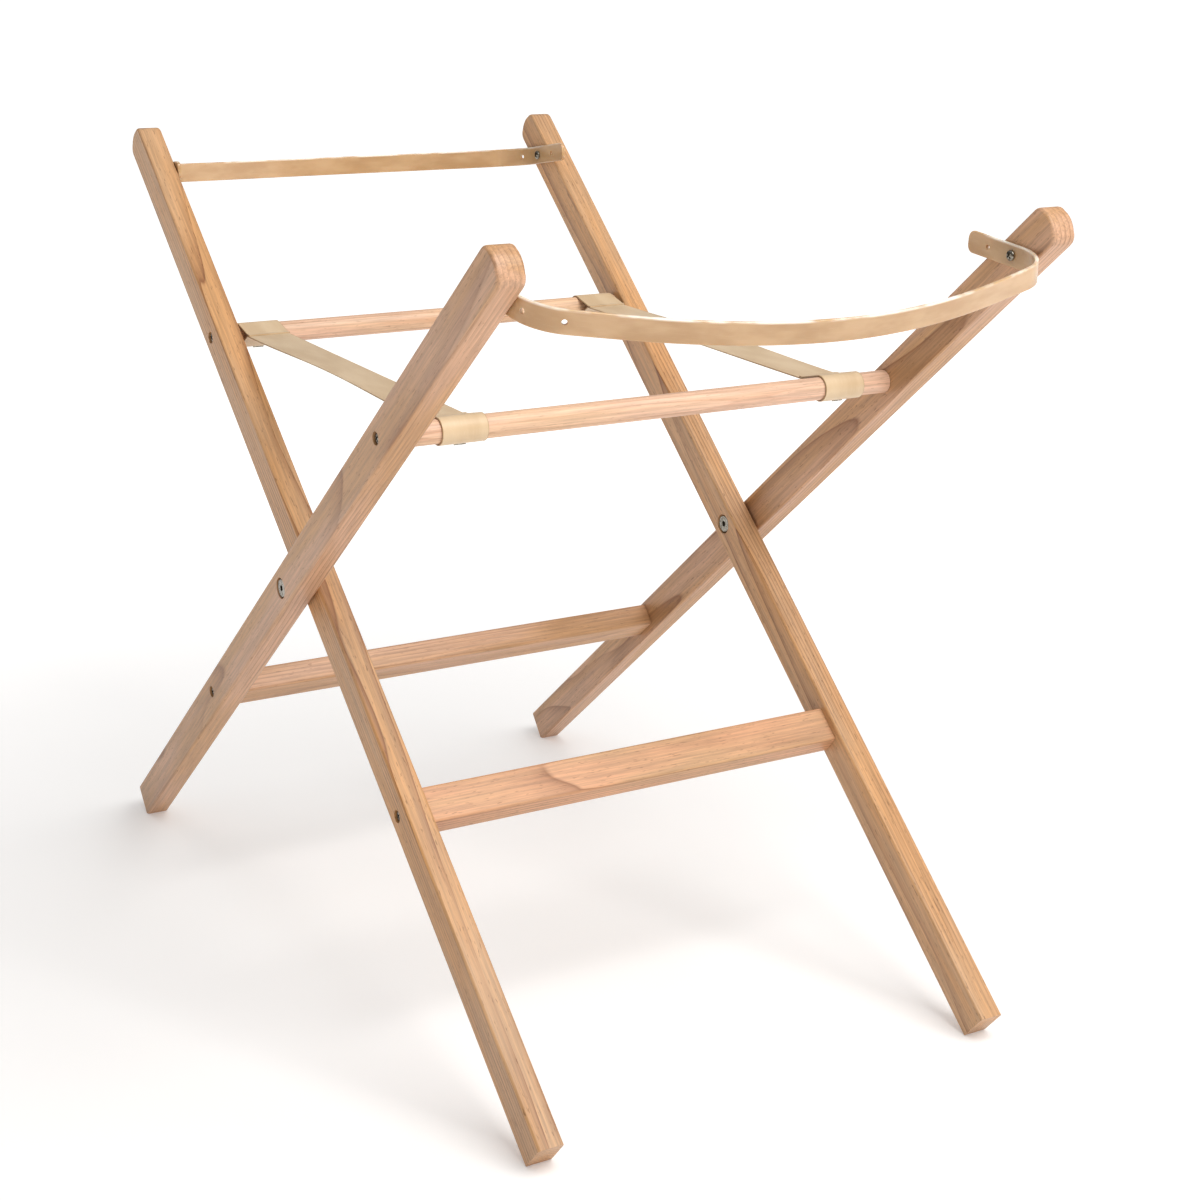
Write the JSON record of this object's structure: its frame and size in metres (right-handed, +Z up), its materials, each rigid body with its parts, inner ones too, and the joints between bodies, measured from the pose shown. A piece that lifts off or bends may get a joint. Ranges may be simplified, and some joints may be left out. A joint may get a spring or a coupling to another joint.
{
  "type": "folding x-frame stand",
  "caption": "Folding wooden stand: two crossed leg frames on pivot bolts, joined by dowels, flat stretchers and webbing straps, with a bowed plastic strap between each pair of leg tops.",
  "frame": {"origin": "on the floor, straight below the pivot axis, midway between the left and right legs", "axes": "+Z up; +X to the right, along the pivot axis; +Y towards the back of the stand, so the front dowel and the front end strap are on the -Y side"},
  "size_m": [0.4888, 0.8887, 0.6972],
  "materials": {
    "leg_wood": "clear satin lacquer over light pine or beech",
    "rail_wood": "clear satin lacquer over pinkish beech",
    "strap_plastic": "smooth, slightly translucent cream-beige plastic",
    "strap_webbing": "matt cream flat webbing",
    "zinc_steel": "bright zinc plating"
  },
  "bodies": {
    "inner_frame": {"inner_leg_left": "leg_wood", "inner_leg_right": "leg_wood", "rear_dowel": "rail_wood", "front_stretcher": "rail_wood", "rear_end_strap": "strap_plastic", "side_strap_left": "strap_webbing", "side_strap_right": "strap_webbing", "pivot_bolt_left": "zinc_steel", "pivot_bolt_right": "zinc_steel", "pivot_nut_left": "zinc_steel", "pivot_nut_right": "zinc_steel", "pivot_washer_left": "zinc_steel", "pivot_washer_right": "zinc_steel", "rear_dowel_screw_left": "zinc_steel", "rear_dowel_screw_right": "zinc_steel", "front_stretcher_screw_left": "zinc_steel", "front_stretcher_screw_right": "zinc_steel", "rear_strap_screw_left": "zinc_steel", "rear_strap_screw_right": "zinc_steel", "rear_staple_left": "zinc_steel", "rear_staple_right": "zinc_steel"},
    "outer_frame": {"outer_leg_left": "leg_wood", "outer_leg_right": "leg_wood", "front_dowel": "rail_wood", "rear_stretcher": "rail_wood", "front_end_strap": "strap_plastic", "front_dowel_screw_left": "zinc_steel", "front_dowel_screw_right": "zinc_steel", "rear_stretcher_screw_left": "zinc_steel", "rear_stretcher_screw_right": "zinc_steel", "front_strap_screw_left": "zinc_steel", "front_strap_screw_right": "zinc_steel", "front_staple_left": "zinc_steel", "front_staple_right": "zinc_steel"}
  },
  "joints": [
    {"name": "fold", "type": "hinge", "parent": "inner_frame", "child": "outer_frame", "pos_m": [0, 0, 0.35201], "axis": [-1, 0, 0], "range_deg": [0, 90], "deforming": ["side_strap_left", "side_strap_right"]}
  ]
}
